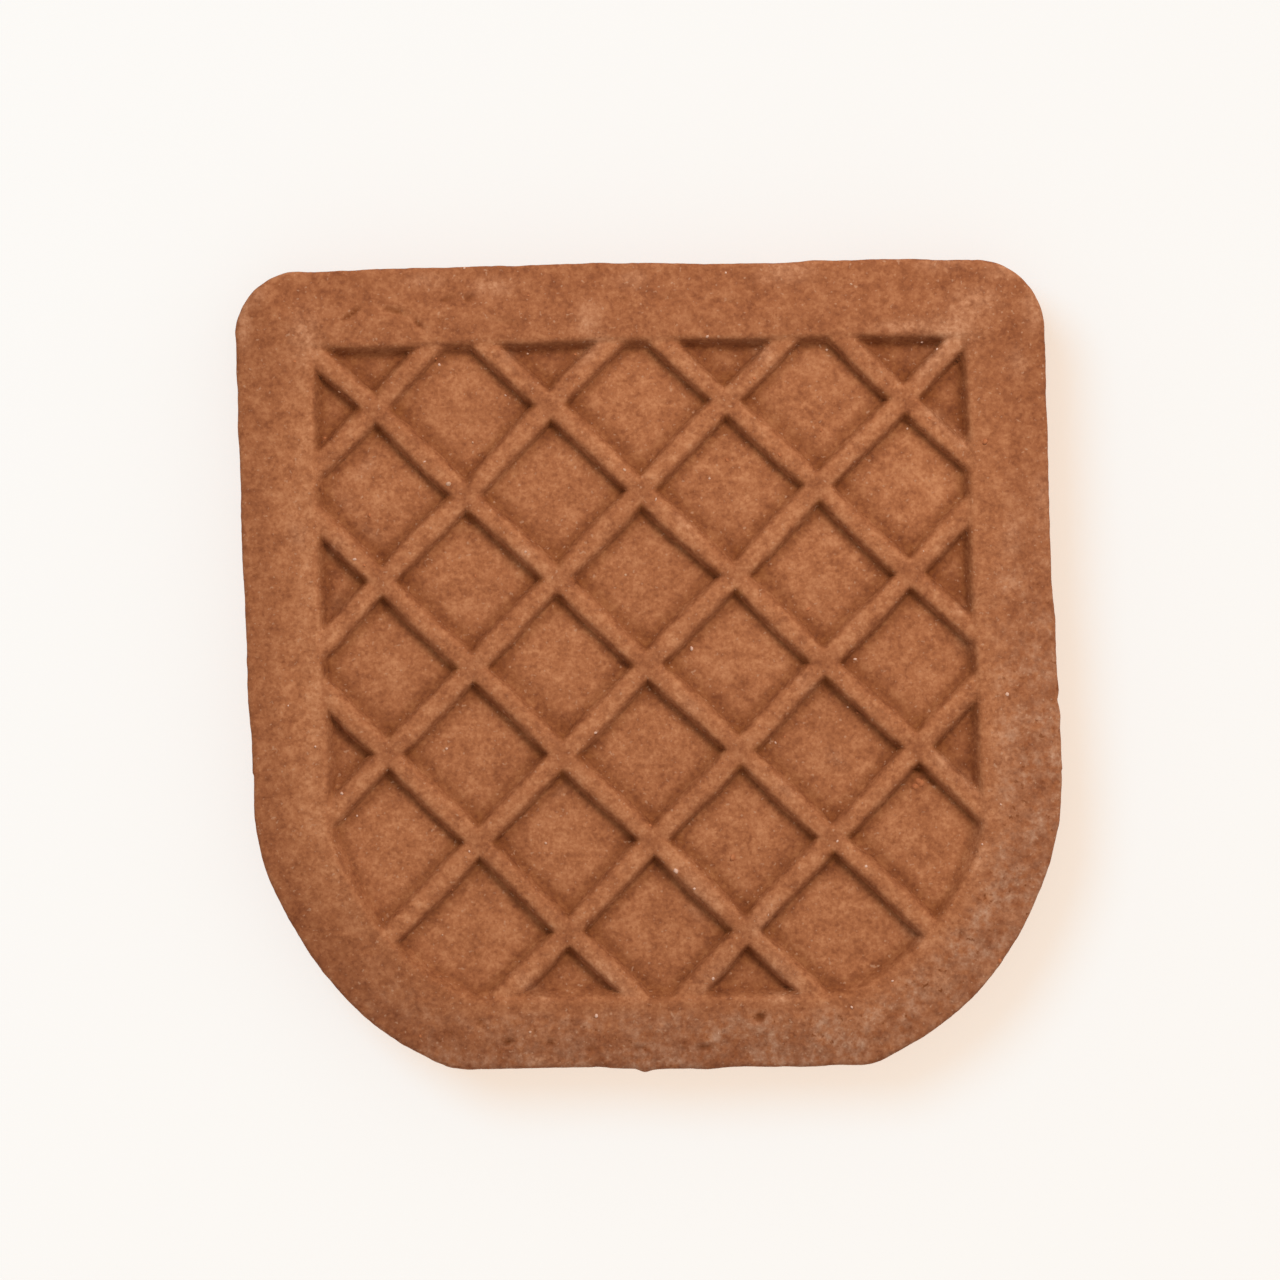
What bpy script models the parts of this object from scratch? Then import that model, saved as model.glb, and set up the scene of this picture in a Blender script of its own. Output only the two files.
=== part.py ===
"""A moulded cocoa biscuit: a thick pocket-shaped slab with a flat raised rim round a sunken panel,
and a trellis of rounded ribs standing on the panel's floor. It is baked in one piece.

The biscuit lies flat on its underside. +Z is up, +Y points to the square-cornered edge, and the
origin is on the underside, below the middle of the outline's box.
"""

import math

import bmesh
import bpy
from mathutils import Vector

MM = 0.001

# Outline, before the lean and the uneven edge
HALF_WIDTH = 30.0 * MM
TOP_EDGE = 29.6 * MM
BOTTOM_EDGE = -29.85 * MM
TOP_CORNER_RADIUS = 4.9 * MM
LOWER_ARC_RADIUS = 23.6 * MM
LOWER_ARC_X = HALF_WIDTH - LOWER_ARC_RADIUS
LOWER_ARC_Y = -8.05 * MM

# Heights
THICKNESS = 6.6 * MM
PANEL_DEPTH = 1.25 * MM
FLOOR_Z = THICKNESS - PANEL_DEPTH
TOP_ROUNDING = 1.1 * MM
FOOT_ROUNDING = 0.5 * MM
ROUNDING_STEPS = 4

# Sunken panel inside the rim
SIDE_RIM_WIDTH = 5.95 * MM
TOP_RIM_WIDTH = 5.8 * MM
BOTTOM_RIM_WIDTH = 5.5 * MM
PANEL_HALF_WIDTH = HALF_WIDTH - SIDE_RIM_WIDTH
PANEL_TOP = TOP_EDGE - TOP_RIM_WIDTH
PANEL_BOTTOM = BOTTOM_EDGE + BOTTOM_RIM_WIDTH
PANEL_ARC_RADIUS = 18.2 * MM
PANEL_CORNER_RADIUS = 0.5 * MM
WALL_DRAFT = 0.3 * MM
PRESS_HEIGHT = 2.5 * MM

# Trellis of ribs, both ways at about 45 degrees, one rib of each way near the middle. Ribs are
# counted upwards from it, and none lies out along the two wide lower arcs.
# Each way has its name, its direction, how far it is off the middle, and how far it is lifted.
RIB_SPACING = 9.15 * MM
RIB_RADIUS = 1.1 * MM
RIB_ROUNDNESS = 4
RIB_WAYS = (
    ("rising", math.radians(45), 0.1 * MM, 0),
    ("falling", math.radians(-44.3), -0.12 * MM, 0.05 * MM),
)
LOWEST_RIB = -2
HIGHEST_RIB = 3
RIB_END_OVERLAP = 0.9 * MM
RIB_POINT_GAP = 2.6 * MM
FEWEST_RIB_STEPS = 2
RIB_SWAY = 0.07 * MM
RIB_SWAY_LENGTH = 17.0 * MM
RIB_SWAY_PHASE = 1.7
RIB_TRIM_STEP = 0.1 * MM

# Unevenness: the dough leaned a little as it left the mould, and its edge spread in slow waves.
# Each wave has its count round the biscuit, its height, and its phase.
LEAN = -0.0147
EDGE_WAVES = (
    (1, 0.11 * MM, 1.63),
    (2, 0.14 * MM, 5.84),
    (4, 0.06 * MM, 2.58),
    (6, 0.09 * MM, 3.17),
    (12, 0.04 * MM, 1.99),
    (17, 0.035 * MM, 3.39),
)
OUTLINE_POINT_GAP = 1.6 * MM
FEWEST_ARC_STEPS = 3

WELD_DISTANCE = 0.001 * MM
SHARP_ANGLE = math.radians(40)

CRUMB_COLOUR = (0.392, 0.143, 0.060, 1.0)
CRUMB_ROUGHNESS = 0.85


def clear_scene():
    for item in list(bpy.data.objects):
        bpy.data.objects.remove(item, do_unlink=True)


def new_collection(name):
    collection = bpy.data.collections.new(name)
    bpy.context.scene.collection.children.link(collection)
    return collection


def crumb_material():
    material = bpy.data.materials.new("baked cocoa crumb")
    material.use_nodes = True
    shader = material.node_tree.nodes["Principled BSDF"]
    shader.inputs["Base Color"].default_value = CRUMB_COLOUR
    shader.inputs["Roughness"].default_value = CRUMB_ROUGHNESS
    shader.inputs["Metallic"].default_value = 0.0
    return material


def straight(start, end):
    """Points along a line, from start up to, but without, end."""
    start, end = Vector(start), Vector(end)
    steps = max(1, round((end - start).length / OUTLINE_POINT_GAP))
    return [start.lerp(end, i / steps) for i in range(steps)]


def arc(centre, radius, first, last):
    """Points round an arc, from the angle first up to, but without, the angle last."""
    steps = max(FEWEST_ARC_STEPS, round(abs(last - first) * radius / OUTLINE_POINT_GAP))
    angles = [first + (last - first) * i / steps for i in range(steps)]
    return [Vector(centre) + radius * Vector((math.cos(a), math.sin(a))) for a in angles]


def pocket_outline(half_width, top, bottom, arc_radius, corner_radius):
    """The pocket shape, anticlockwise: a flat foot, wide arcs up to the sides, and small upper corners."""
    foot_angle = math.asin((bottom - LOWER_ARC_Y) / arc_radius)
    side_angle = -math.acos(min(1.0, (half_width - LOWER_ARC_X) / arc_radius))
    arc_foot = LOWER_ARC_X + arc_radius * math.cos(foot_angle)
    arc_top = LOWER_ARC_Y + arc_radius * math.sin(side_angle)
    corner_x, corner_y = half_width - corner_radius, top - corner_radius
    right = straight((0, bottom), (arc_foot, bottom))
    right += arc((LOWER_ARC_X, LOWER_ARC_Y), arc_radius, foot_angle, side_angle)
    right += straight((half_width, arc_top), (half_width, corner_y))
    right += arc((corner_x, corner_y), corner_radius, 0, math.pi / 2)
    right += straight((corner_x, top), (0, top))
    left = [Vector((-p.x, p.y)) for p in reversed(right[1:])]
    return right + [Vector((0, top))] + left


def uneven(point):
    """Moves a point of the edge in or out by a few slow waves round the biscuit."""
    angle = math.atan2(point.y, point.x)
    wave = sum(height * math.sin(count * angle + phase) for count, height, phase in EDGE_WAVES)
    return point * (1 + wave / point.length)


def leaned(point):
    """Shears a point of the ideal design the way the baked biscuit leans."""
    return Vector((point.x + LEAN * point.y, point.y + LEAN * point.x))


def biscuit_edge():
    outline = pocket_outline(HALF_WIDTH, TOP_EDGE, BOTTOM_EDGE, LOWER_ARC_RADIUS, TOP_CORNER_RADIUS)
    return [leaned(uneven(p)) for p in outline]


def centring_shift():
    """What brings the middle of the edge's box to the origin."""
    edge = biscuit_edge()
    xs, ys = [p.x for p in edge], [p.y for p in edge]
    return Vector((-(min(xs) + max(xs)) / 2, -(min(ys) + max(ys)) / 2))


def flat_curve(name, points, low, high, collection):
    """A filled outline with straight walls between two heights."""
    curve = bpy.data.curves.new(name, "CURVE")
    curve.dimensions = "2D"
    curve.fill_mode = "BOTH"
    curve.extrude = (high - low) / 2
    spline = curve.splines.new("POLY")
    spline.points.add(len(points) - 1)
    spline.use_cyclic_u = True
    for knot, p in zip(spline.points, points):
        knot.co = (p.x, p.y, 0, 1)
    slab = bpy.data.objects.new(name, curve)
    slab.location.z = (low + high) / 2
    collection.objects.link(slab)
    return slab


def rod_curve(name, points, height, radius, collection):
    """A round rod along points, at one height."""
    curve = bpy.data.curves.new(name, "CURVE")
    curve.dimensions = "3D"
    curve.bevel_depth = radius
    curve.bevel_resolution = RIB_ROUNDNESS
    curve.use_fill_caps = True
    spline = curve.splines.new("POLY")
    spline.points.add(len(points) - 1)
    for knot, p in zip(spline.points, points):
        knot.co = (p.x, p.y, 0, 1)
    rod = bpy.data.objects.new(name, curve)
    rod.location.z = height
    collection.objects.link(rod)
    return rod


def as_mesh(item, collection):
    """The item as the viewport shows it, made a mesh with its caps welded, in place of the item."""
    bpy.context.view_layer.update()
    graph = bpy.context.evaluated_depsgraph_get()
    mesh = bpy.data.meshes.new_from_object(item.evaluated_get(graph))
    name, place = item.name, item.matrix_world.copy()
    bpy.data.objects.remove(item, do_unlink=True)
    bm = bmesh.new()
    bm.from_mesh(mesh)
    bmesh.ops.remove_doubles(bm, verts=bm.verts, dist=WELD_DISTANCE)
    bmesh.ops.recalc_face_normals(bm, faces=bm.faces)
    bm.to_mesh(mesh)
    bm.free()
    made = bpy.data.objects.new(name, mesh)
    made.matrix_world = place
    collection.objects.link(made)
    return made


def round_edges(slab):
    """Rounds the upper edge generously and the foot a little, by one weighted Bevel."""
    bm = bmesh.new()
    bm.from_mesh(slab.data)
    level = [e for e in bm.edges if abs(e.verts[0].co.z - e.verts[1].co.z) < WELD_DISTANCE]
    fill_seams = [e for e in level if e.calc_face_angle() < SHARP_ANGLE]
    bmesh.ops.dissolve_edges(bm, edges=fill_seams)
    weight = bm.edges.layers.float.new("bevel_weight_edge")
    for edge in bm.edges:
        low, high = sorted(v.co.z for v in edge.verts)
        if high - low < WELD_DISTANCE:
            edge[weight] = 1.0 if low > 0 else FOOT_ROUNDING / TOP_ROUNDING
    bm.to_mesh(slab.data)
    bm.free()
    bevel = slab.modifiers.new("rounded edges", "BEVEL")
    bevel.limit_method = "WEIGHT"
    bevel.width = TOP_ROUNDING
    bevel.segments = ROUNDING_STEPS


def make_slab(shift, collection):
    edge = [p + shift for p in biscuit_edge()]
    slab = as_mesh(flat_curve("biscuit", edge, 0, THICKNESS, collection), collection)
    round_edges(slab)
    return slab


def make_panel_cutter(shift, collection):
    """The block that presses the panel in, a little wider at the top than at the floor."""
    outline = pocket_outline(
        PANEL_HALF_WIDTH, PANEL_TOP, PANEL_BOTTOM, PANEL_ARC_RADIUS, PANEL_CORNER_RADIUS
    )
    points = [leaned(uneven(p)) + shift for p in outline]
    block = flat_curve("panel cutter", points, FLOOR_Z, FLOOR_Z + PRESS_HEIGHT, collection)
    cutter = as_mesh(block, collection)
    spread = 1 + WALL_DRAFT * PRESS_HEIGHT / PANEL_DEPTH / PANEL_HALF_WIDTH
    for vertex in cutter.data.vertices:
        if vertex.co.z > 0:
            vertex.co.x *= spread
            vertex.co.y *= spread
    cutter.hide_render = True
    cutter.display_type = "WIRE"
    return cutter


def past_lower_arc(point):
    """Whether a rib's end would run right through the rim at one of the two wide lower arcs."""
    reach = Vector((abs(point.x) - LOWER_ARC_X, point.y - LOWER_ARC_Y))
    return reach.x > 0 and reach.y < 0 and reach.length > PANEL_ARC_RADIUS + RIB_END_OVERLAP


def rib_line(offset, direction):
    """A straight rib's two ends, just inside the rim, and its sideways direction."""
    along = Vector((math.cos(direction), math.sin(direction)))
    across = Vector((-along.y, along.x))
    middle = across * offset
    starts, ends = [], []
    for axis, low, high in ((0, -PANEL_HALF_WIDTH, PANEL_HALF_WIDTH), (1, PANEL_BOTTOM, PANEL_TOP)):
        crossings = [(low - middle[axis]) / along[axis], (high - middle[axis]) / along[axis]]
        starts.append(min(crossings))
        ends.append(max(crossings))
    start = middle + along * (max(starts) - RIB_END_OVERLAP)
    end = middle + along * (min(ends) + RIB_END_OVERLAP)
    while past_lower_arc(start):
        start += along * RIB_TRIM_STEP
    while past_lower_arc(end):
        end -= along * RIB_TRIM_STEP
    return start, end, across


def rib_points(index, direction, offset):
    """The centreline of one rib, with the slight sway of a worn mould."""
    start, end, across = rib_line(index * RIB_SPACING + offset, direction)
    length = (end - start).length
    steps = max(FEWEST_RIB_STEPS, round(length / RIB_POINT_GAP))
    points = []
    for i in range(steps + 1):
        turn = 2 * math.pi * length * i / steps / RIB_SWAY_LENGTH
        sway = RIB_SWAY * math.sin(turn + RIB_SWAY_PHASE * index + direction)
        points.append(start.lerp(end, i / steps) + across * sway)
    return points


def make_ribs(shift, collection):
    """Both ways of the trellis, half sunk in the floor, with their ends inside the rim."""
    for word, direction, offset, lift in RIB_WAYS:
        for index in range(LOWEST_RIB, HIGHEST_RIB + 1):
            points = [leaned(p) + shift for p in rib_points(index, direction, offset)]
            name = f"{word} rib {index - LOWEST_RIB + 1}"
            as_mesh(rod_curve(name, points, FLOOR_Z + lift, RIB_RADIUS, collection), collection)


def add_boolean(target, operation, name):
    boolean = target.modifiers.new(name, "BOOLEAN")
    boolean.operation = operation
    boolean.solver = "EXACT"
    return boolean


def make_biscuit():
    shift = centring_shift()
    parts, tools = new_collection("moulded biscuit"), new_collection("mould tools")
    ribs = new_collection("trellis ribs")
    slab = make_slab(shift, parts)
    press = add_boolean(slab, "DIFFERENCE", "press the panel")
    press.object = make_panel_cutter(shift, tools)
    make_ribs(shift, ribs)
    raise_ribs = add_boolean(slab, "UNION", "raise the ribs")
    raise_ribs.operand_type = "COLLECTION"
    raise_ribs.collection = ribs
    biscuit = as_mesh(slab, parts)
    for rib in list(ribs.objects):
        bpy.data.objects.remove(rib, do_unlink=True)
    bpy.data.collections.remove(ribs)
    biscuit.data.materials.clear()
    biscuit.data.materials.append(crumb_material())
    biscuit.data.shade_smooth()
    biscuit.data.set_sharp_from_angle(angle=SHARP_ANGLE)


clear_scene()
make_biscuit()
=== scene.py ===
"""The looks of a moulded cocoa biscuit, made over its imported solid.

One dense body with the rim, the sunken panel and the trellis of ribs carries the baked crumb, and
fine grains and a few loose crumbs lie on it. Lengths are in metres. The biscuit lies flat, +Z up.
"""

import math

import bmesh
import bpy
import numpy as np
from bpy.props import FloatProperty, FloatVectorProperty, IntProperty, PointerProperty
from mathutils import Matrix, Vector


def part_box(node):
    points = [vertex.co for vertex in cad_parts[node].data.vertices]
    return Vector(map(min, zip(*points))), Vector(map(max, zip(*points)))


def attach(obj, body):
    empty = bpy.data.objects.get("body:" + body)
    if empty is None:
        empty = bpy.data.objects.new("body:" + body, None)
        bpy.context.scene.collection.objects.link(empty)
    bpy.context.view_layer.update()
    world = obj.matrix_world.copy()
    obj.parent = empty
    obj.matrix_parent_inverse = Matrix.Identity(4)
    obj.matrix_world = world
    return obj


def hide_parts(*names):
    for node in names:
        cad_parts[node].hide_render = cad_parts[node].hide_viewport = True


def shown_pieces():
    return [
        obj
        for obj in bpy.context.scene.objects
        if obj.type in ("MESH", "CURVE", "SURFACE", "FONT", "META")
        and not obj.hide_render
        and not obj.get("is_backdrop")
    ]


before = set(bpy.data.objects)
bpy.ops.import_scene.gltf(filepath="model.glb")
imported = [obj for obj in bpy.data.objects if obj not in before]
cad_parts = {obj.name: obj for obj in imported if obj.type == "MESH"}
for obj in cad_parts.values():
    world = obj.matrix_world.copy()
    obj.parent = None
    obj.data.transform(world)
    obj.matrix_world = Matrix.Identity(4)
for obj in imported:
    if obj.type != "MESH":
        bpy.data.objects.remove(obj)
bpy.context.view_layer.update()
NODE_LOW, NODE_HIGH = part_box("biscuit")

bl_info = {
    "name": "Moulded Cocoa Biscuit",
    "version": (1, 0, 0),
    "blender": (4, 5, 0),
    "location": "View3D > Sidebar > Biscuit",
    "description": "Models and finishes a moulded cocoa biscuit with a trellis relief",
    "category": "Add Mesh",
}

MM = 0.001

# Outline of the mould, before the lean and the uneven edge
HALF_WIDTH = 30.0 * MM
TOP_EDGE = 29.6 * MM
BOTTOM_EDGE = -29.85 * MM
TOP_CORNER_RADIUS = 4.9 * MM
LOWER_ARC_RADIUS = 23.6 * MM
LOWER_ARC_X = HALF_WIDTH - LOWER_ARC_RADIUS
LOWER_ARC_Y = -8.05 * MM

# Panel and trellis of the mould
PANEL_LEFT = 5.64 * MM - HALF_WIDTH
PANEL_RIGHT = HALF_WIDTH - 5.92 * MM
PANEL_TOP = TOP_EDGE - 5.67 * MM
PANEL_BOTTOM = BOTTOM_EDGE + 5.25 * MM
PANEL_ARC_RADIUS = 18.2 * MM
LOWEST_RIB = -2
HIGHEST_RIB = 3
RIB_SWAY = 0.07 * MM
RIB_SWAY_LENGTH = 17.0 * MM
RIB_SWAY_PHASE = 1.7
# Each way of the trellis: its direction, how far it is off the middle, and how far it is lifted
RIB_WAYS = (
    (math.radians(45), 0.1 * MM, 0.0),
    (math.radians(-44.3), -0.12 * MM, 0.05 * MM),
)
# How far each rib of both ways strays to one side, and how much that grows along it
RIB_STRAYS = (
    ((-0.25, 0.10), (-0.07, 0.0), (-0.05, 0.0), (0.0, 0.0), (-0.08, 0.0), (0.0, 0.0)),
    ((-0.20, -0.20), (-0.17, -0.10), (-0.03, 0.0), (0.05, 0.0), (0.14, 0.0), (0.28, 0.0)),
)

# Lean and slow waves of the baked edge: each wave's count, height and phase
LEAN = -0.0147
EDGE_WAVES = (
    (1, 0.11 * MM, 1.63),
    (2, 0.14 * MM, 5.84),
    (4, 0.06 * MM, 2.58),
    (6, 0.09 * MM, 3.17),
    (12, 0.04 * MM, 1.99),
    (17, 0.035 * MM, 3.39),
)
WAVES_FROM = 12.0 * MM
WAVES_FULL = 22.0 * MM

# How the photograph shows the biscuit: its middle, its turn, and its size in pixels
PHOTO_SIDE = 1280
PHOTO_MIDDLE = (650.0, 664.0)
PHOTO_TURN = math.radians(1.3)
PIXEL = 60.0 * MM / 811

# Dents and pits: photograph pixel, half length, half width, turn in degrees, and depth
DENTS = (
    (351, 314, 1.00 * MM, 0.15 * MM, 35, 0.34 * MM),
    (395, 311, 1.10 * MM, 0.20 * MM, -14, 0.27 * MM),
    (418, 324, 0.60 * MM, 0.18 * MM, -48, 0.27 * MM),
    (446, 299, 0.50 * MM, 0.14 * MM, 12, 0.28 * MM),
    (468, 298, 0.55 * MM, 0.14 * MM, 2, 0.34 * MM),
    (440, 320, 0.45 * MM, 0.20 * MM, 60, 0.15 * MM),
    (505, 322, 0.90 * MM, 0.20 * MM, -8, 0.14 * MM),
    (668, 298, 1.30 * MM, 0.25 * MM, 5, 0.14 * MM),
    (730, 302, 1.00 * MM, 0.22 * MM, -6, 0.14 * MM),
    (760, 1018, 0.38 * MM, 0.30 * MM, 20, 0.48 * MM),
    (550, 1043, 0.30 * MM, 0.20 * MM, 60, 0.24 * MM),
    (508, 1043, 0.36 * MM, 0.20 * MM, 15, 0.36 * MM),
    (704, 1048, 0.70 * MM, 0.18 * MM, 4, 0.30 * MM),
    (900, 1010, 0.45 * MM, 0.22 * MM, 40, 0.20 * MM),
    (961, 935, 0.45 * MM, 0.22 * MM, 60, 0.20 * MM),
    (590, 1050, 0.45 * MM, 0.15 * MM, 0, 0.18 * MM),
    (640, 1049, 0.60 * MM, 0.16 * MM, 4, 0.24 * MM),
    (820, 1035, 0.45 * MM, 0.16 * MM, -30, 0.22 * MM),
    (800, 1010, 0.50 * MM, 0.20 * MM, 35, 0.15 * MM),
    (480, 1022, 0.35 * MM, 0.22 * MM, 50, 0.24 * MM),
    (919, 770, 0.55 * MM, 0.17 * MM, 0, 0.34 * MM),
    (932, 781, 0.50 * MM, 0.20 * MM, -45, 0.26 * MM),
    (922, 343, 1.60 * MM, 0.60 * MM, 0, 0.13 * MM),
    (966, 556, 1.00 * MM, 0.50 * MM, 90, 0.10 * MM),
)

# Bumps and notches of the outer edge: photograph pixel, how far out, and half width
EDGE_MARKS = (
    (645, 1069, 0.22 * MM, 0.45 * MM),
    (770, 1066, 0.07 * MM, 0.8 * MM),
    (600, 1068, -0.05 * MM, 0.7 * MM),
    (707, 1069, 0.10 * MM, 1.0 * MM),
    (1060, 700, -0.14 * MM, 0.4 * MM),
    (1060, 716, 0.08 * MM, 0.5 * MM),
    (590, 263, 0.06 * MM, 1.2 * MM),
    (520, 266, -0.05 * MM, 0.9 * MM),
    (238, 330, 0.05 * MM, 0.8 * MM),
    (982, 985, 0.24 * MM, 6.0 * MM),
    (1061, 782, 0.24 * MM, 4.0 * MM),
    (1055, 621, 0.17 * MM, 1.6 * MM),
    (257, 839, 0.16 * MM, 4.0 * MM),
    (383, 1032, 0.09 * MM, 6.0 * MM),
    (245, 607, -0.06 * MM, 4.0 * MM),
    (237, 426, 0.12 * MM, 1.0 * MM),
    (342, 270, -0.08 * MM, 6.0 * MM),
    (489, 266, 0.09 * MM, 4.0 * MM),
    (706, 263, -0.11 * MM, 1.6 * MM),
    (813, 260, 0.13 * MM, 1.0 * MM),
    (944, 260, -0.10 * MM, 1.6 * MM),
    (1045, 397, -0.10 * MM, 1.6 * MM),
)

# Spots painted paler: photograph pixel, half length, half width, turn in degrees, and how much paler.
# Most are pale worn crumb; those along the panel's inner edge are painted highlight
PALE_AND_LIT_SPOTS = (
    (948, 335, 2.2 * MM, 1.3 * MM, 30, 0.70),
    (976, 300, 1.6 * MM, 0.9 * MM, 0, 0.65),
    (1036, 308, 1.2 * MM, 0.8 * MM, 90, 0.65),
    (1017, 361, 1.0 * MM, 0.7 * MM, 90, 0.45),
    (1044, 496, 1.4 * MM, 0.6 * MM, 90, 0.60),
    (1011, 541, 1.2 * MM, 0.6 * MM, 90, 0.45),
    (960, 435, 1.0 * MM, 0.6 * MM, -45, 0.50),
    (941, 264, 1.6 * MM, 0.5 * MM, 0, 0.45),
    (785, 273, 1.8 * MM, 0.7 * MM, 0, 0.55),
    (588, 319, 1.1 * MM, 0.8 * MM, 90, 0.60),
    (493, 287, 1.4 * MM, 0.7 * MM, 0, 0.55),
    (425, 279, 1.4 * MM, 0.6 * MM, 0, 0.45),
    (305, 334, 1.5 * MM, 1.0 * MM, 90, 0.70),
    (243, 325, 1.8 * MM, 0.5 * MM, 90, 0.55),
    (762, 351, 1.0 * MM, 0.6 * MM, -45, 0.80),
    (806, 684, 0.9 * MM, 0.6 * MM, -45, 0.45),
    (968, 779, 1.4 * MM, 0.6 * MM, -45, 0.55),
    (784, 971, 1.8 * MM, 0.6 * MM, -45, 0.55),
    (712, 977, 1.4 * MM, 0.6 * MM, 45, 0.50),
    (767, 914, 1.2 * MM, 0.7 * MM, 45, 0.45),
    (698, 889, 1.8 * MM, 0.6 * MM, -45, 0.50),
    (615, 980, 2.2 * MM, 0.6 * MM, -45, 0.50),
    (944, 981, 1.2 * MM, 0.8 * MM, 40, 0.55),
    (591, 349, 1.2 * MM, 0.5 * MM, 45, 0.95),
    (941, 761, 0.7 * MM, 0.4 * MM, -45, 0.80),
    (914, 935, 1.1 * MM, 0.5 * MM, -45, 0.90),
    # Painted highlight along the right arc's inner edge
    (980, 829, 1.3 * MM, 0.5 * MM, 70, 0.50),
    (1007, 757, 1.0 * MM, 0.6 * MM, 90, 0.50),
    # The next three, along the panel's inner edge, are painted highlight
    (910, 326, 2.2 * MM, 0.4 * MM, 0, 0.80),
    (784, 997, 1.0 * MM, 0.4 * MM, 0, 0.80),
    (980, 857, 1.3 * MM, 0.5 * MM, 70, 0.65),
    (936, 360, 1.3 * MM, 0.4 * MM, 45, 0.60),
    (1021, 814, 0.8 * MM, 0.5 * MM, 60, 0.45),
    (835, 757, 0.8 * MM, 0.4 * MM, -45, 0.50),
    (532, 988, 1.2 * MM, 0.5 * MM, -45, 0.80),
    (938, 415, 0.9 * MM, 0.5 * MM, -45, 0.85),
    (510, 352, 0.8 * MM, 0.5 * MM, 45, 0.80),
    (336, 604, 1.0 * MM, 0.5 * MM, 45, 0.60),
    (334, 548, 0.9 * MM, 0.5 * MM, 45, 0.60),
    (298, 535, 0.9 * MM, 0.6 * MM, 90, 0.60),
    (966, 645, 0.9 * MM, 0.5 * MM, -45, 0.60),
    (966, 604, 0.9 * MM, 0.5 * MM, 45, 0.60),
    (1003, 270, 1.2 * MM, 0.6 * MM, 0, 0.60),
    (632, 279, 1.0 * MM, 0.6 * MM, 0, 0.55),
    (254, 296, 0.9 * MM, 0.6 * MM, 45, 0.55),
    (990, 971, 1.0 * MM, 0.6 * MM, 50, 0.60),
    (544, 1060, 0.9 * MM, 0.4 * MM, 0, 0.60),
    (346, 502, 0.8 * MM, 0.4 * MM, -45, 0.45),
    (366, 466, 1.0 * MM, 0.4 * MM, 45, 0.45),
    (785, 790, 0.9 * MM, 0.4 * MM, -45, 0.50),
    (690, 705, 0.9 * MM, 0.4 * MM, -45, 0.50),
    (525, 552, 0.5 * MM, 0.3 * MM, -45, 0.75),
    (683, 522, 0.9 * MM, 0.3 * MM, -45, 0.60),
    (369, 532, 0.9 * MM, 0.4 * MM, -45, 0.50),
    (562, 789, 0.8 * MM, 0.4 * MM, 45, 0.50),
    (763, 927, 0.8 * MM, 0.4 * MM, 45, 0.50),
    (1012, 918, 1.2 * MM, 0.6 * MM, 0, 0.50),
    (696, 914, 0.8 * MM, 0.4 * MM, -45, 0.45),
)

# Spots painted darker, in the same order. The first ten, in the small cells that the rim cuts, and the
# long one along the panel's left wall are painted shade; the others darken places on the rim and at
# the cells' corners
BROWNED_AND_SHADED_SPOTS = (
    (922, 346, 1.6 * MM, 1.1 * MM, 0, 1.60),
    (738, 352, 1.4 * MM, 1.0 * MM, 0, 0.60),
    (556, 354, 1.4 * MM, 1.0 * MM, 0, 0.35),
    (372, 355, 1.4 * MM, 1.0 * MM, 0, 0.45),
    (964, 566, 1.6 * MM, 0.9 * MM, 90, 1.00),
    (966, 738, 1.4 * MM, 0.8 * MM, 90, 0.30),
    (344, 750, 1.4 * MM, 0.8 * MM, 90, 0.60),
    (332, 402, 1.4 * MM, 0.8 * MM, 90, 0.25),
    (752, 972, 1.4 * MM, 0.8 * MM, 0, 0.60),
    (570, 978, 1.4 * MM, 0.8 * MM, 0, 0.30),
    (324, 690, 3.6 * MM, 0.35 * MM, 89, 1.00),
    (351, 914, 1.2 * MM, 0.8 * MM, -60, 0.80),
    (389, 960, 1.2 * MM, 0.8 * MM, -45, 0.70),
    (630, 1018, 0.8 * MM, 0.7 * MM, 0, 0.70),
    (632, 1063, 1.4 * MM, 0.4 * MM, 0, 0.70),
    (811, 1060, 1.2 * MM, 0.6 * MM, 10, 0.90),
    (858, 1050, 1.0 * MM, 0.6 * MM, 20, 0.80),
    (819, 305, 0.7 * MM, 0.5 * MM, 0, 0.80),
    (997, 677, 0.7 * MM, 0.5 * MM, 60, 0.80),
    (613, 804, 0.7 * MM, 0.5 * MM, 45, 0.60),
    (530, 649, 0.7 * MM, 0.5 * MM, -45, 0.60),
    (759, 1026, 0.9 * MM, 0.6 * MM, 0, 0.60),
    (580, 776, 0.7 * MM, 0.4 * MM, 45, 0.60),
    (816, 585, 0.7 * MM, 0.5 * MM, -45, 0.60),
    (504, 993, 0.8 * MM, 0.5 * MM, 0, 0.60),
    (570, 882, 0.7 * MM, 0.4 * MM, -45, 0.60),
    (904, 472, 0.7 * MM, 0.5 * MM, 45, 0.60),
    (372, 930, 2.6 * MM, 1.2 * MM, -55, 0.30),
)

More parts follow.
